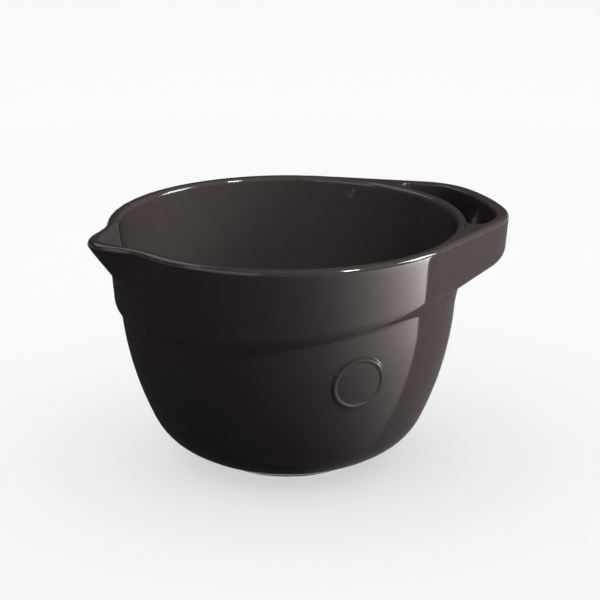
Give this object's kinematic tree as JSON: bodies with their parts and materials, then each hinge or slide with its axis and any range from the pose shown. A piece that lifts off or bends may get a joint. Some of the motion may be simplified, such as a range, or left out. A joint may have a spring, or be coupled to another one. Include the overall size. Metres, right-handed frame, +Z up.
{
  "type": "batter bowl",
  "caption": "Deep round glazed stoneware bowl with a thick rim band, a pouring spout on one side and a loop handle with a finger slot on the other.",
  "frame": {"origin": "on the bowl's axis, in the plane of the foot ring that it stands on", "axes": "+Z up along the bowl's axis, +X towards the loop handle, the pouring spout towards -X"},
  "size_m": [0.2607, 0.2164, 0.148],
  "materials": {
    "glaze": "glossy dark charcoal glaze",
    "bare_clay": "unglazed stoneware"
  },
  "bodies": {
    "root": {"bowl_body": "glaze", "rim_band": "glaze", "pour_spout": "glaze", "loop_handle": "glaze", "medallion": "glaze", "foot_ring": "bare_clay"}
  },
  "joints": []
}
